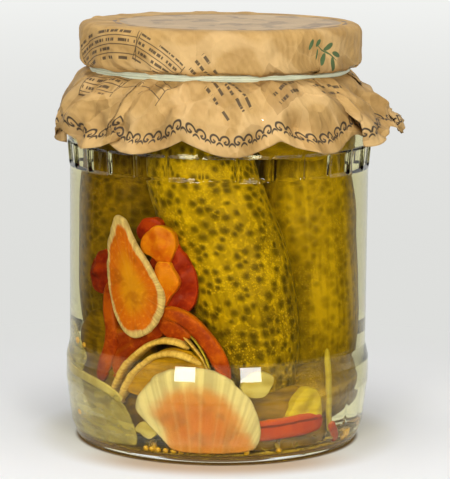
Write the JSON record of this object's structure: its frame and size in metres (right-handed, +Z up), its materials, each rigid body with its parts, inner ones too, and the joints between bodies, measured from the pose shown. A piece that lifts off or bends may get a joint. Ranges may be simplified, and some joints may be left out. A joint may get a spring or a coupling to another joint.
{
  "type": "pickle jar",
  "caption": "Glass jar of pickles in brine with panelled rings round its shoulder and foot, shut by a lid under a scalloped paper cover held by a rubber band.",
  "frame": {"origin": "centre of the resting ring under the base", "axes": "+Z up along the jar's axis, from base to lid; -Y towards the viewer, with a pressed panel centred on it; +X to the viewer's right"},
  "size_m": [0.1028, 0.1028, 0.1276],
  "materials": {
    "glass": "clear polished soda-lime glass",
    "brine": "clear yellow brine",
    "lid_metal": "satin lacquered tinplate",
    "kraft_paper": "brown ribbed kraft paper, uncoated",
    "band_rubber": "pale natural rubber, slightly glossy"
  },
  "bodies": {
    "root": {"jar_glass": "glass", "brine": "brine", "lid": "lid_metal", "paper_cover": "kraft_paper", "rubber_band": "band_rubber"}
  },
  "joints": []
}
